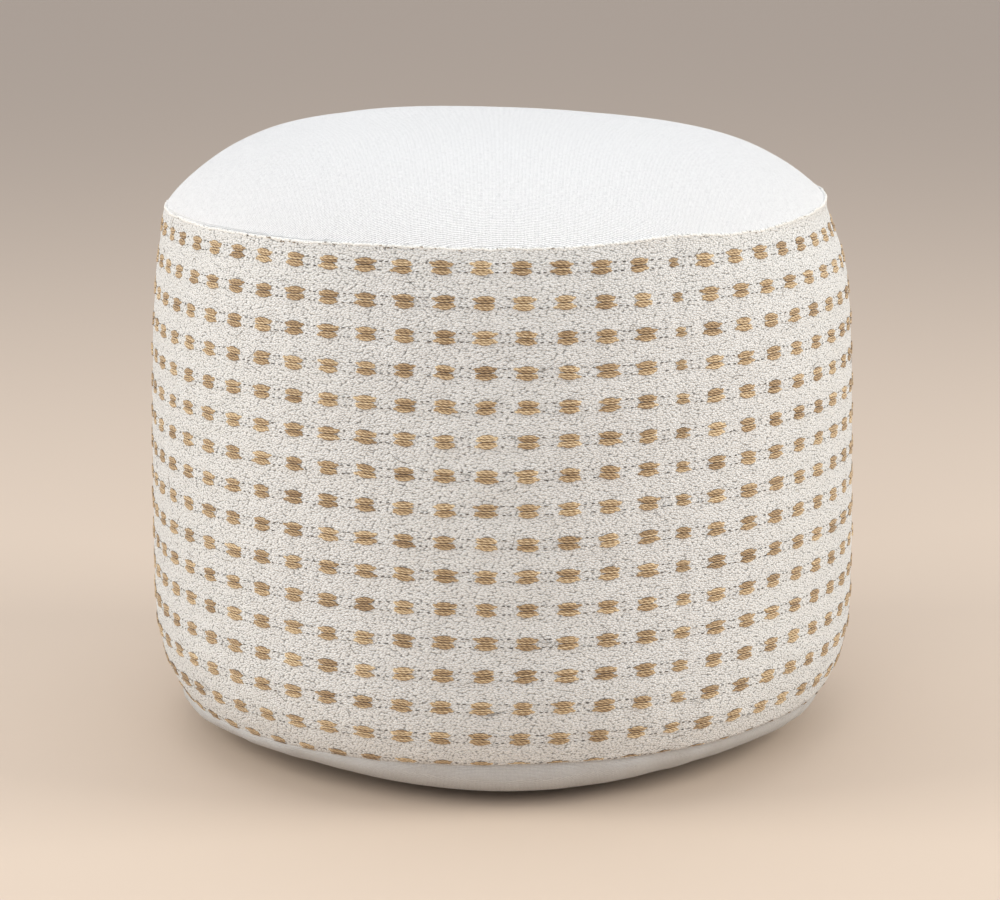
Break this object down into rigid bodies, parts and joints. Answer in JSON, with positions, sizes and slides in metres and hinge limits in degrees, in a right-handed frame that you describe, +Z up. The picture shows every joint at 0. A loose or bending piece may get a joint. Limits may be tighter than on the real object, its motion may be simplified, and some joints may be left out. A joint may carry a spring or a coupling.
{
  "type": "pouf",
  "caption": "Round drum floor pouf: handwoven cotton side band with rows of jute motifs, crowned white canvas top and bottom, and a zip round the back of its base.",
  "frame": {"origin": "centre of the flat patch of the base, on the floor", "axes": "+Z up along the drum's axis, -Y to the front, zip centred on +Y at the back"},
  "size_m": [0.4592, 0.459, 0.394],
  "materials": {
    "canvas": "matte",
    "band_cotton": "matte",
    "jute": "matte",
    "thread": "matte",
    "zip_tape": "matte",
    "zip_chain": "satin",
    "zip_metal": "satin",
    "liner_cloth": "matte",
    "beads": "matte"
  },
  "bodies": {
    "cover": {"top_panel": "canvas", "side_band": "band_cotton", "bottom_panel": "canvas", "jute_row_01": "jute", "jute_row_02": "jute", "jute_row_03": "jute", "jute_row_04": "jute", "jute_row_05": "jute", "jute_row_06": "jute", "jute_row_07": "jute", "jute_row_08": "jute", "jute_row_09": "jute", "jute_row_10": "jute", "jute_row_11": "jute", "jute_row_12": "jute", "jute_row_13": "jute", "jute_row_14": "jute", "jute_row_15": "jute", "jute_row_16": "jute", "top_seam_thread": "thread", "bottom_seam_thread": "thread", "side_join_thread": "thread", "zip_seam_threads": "thread", "zip_tape_upper": "zip_tape", "zip_tape_lower": "zip_tape", "zip_chain_upper": "zip_chain", "zip_chain_lower": "zip_chain", "zip_stops": "zip_metal", "liner_top": "liner_cloth", "liner_side": "liner_cloth", "liner_bottom": "liner_cloth", "liner_seam_threads": "thread", "bead_fill": "beads"},
    "slider": {"zip_slider": "zip_metal"},
    "pull": {"zip_pull": "zip_metal"}
  },
  "joints": [
    {"name": "zip_run", "type": "hinge", "parent": "cover", "child": "slider", "pos_m": [0, 0, 0.029], "axis": [0, 0, 1], "range_deg": [-112, 0]},
    {"name": "pull_swing", "type": "hinge", "parent": "slider", "child": "pull", "pos_m": [-0.17997, 0.11438, 0.029], "axis": [0, 0, 1], "range_deg": [0, 170]}
  ]
}
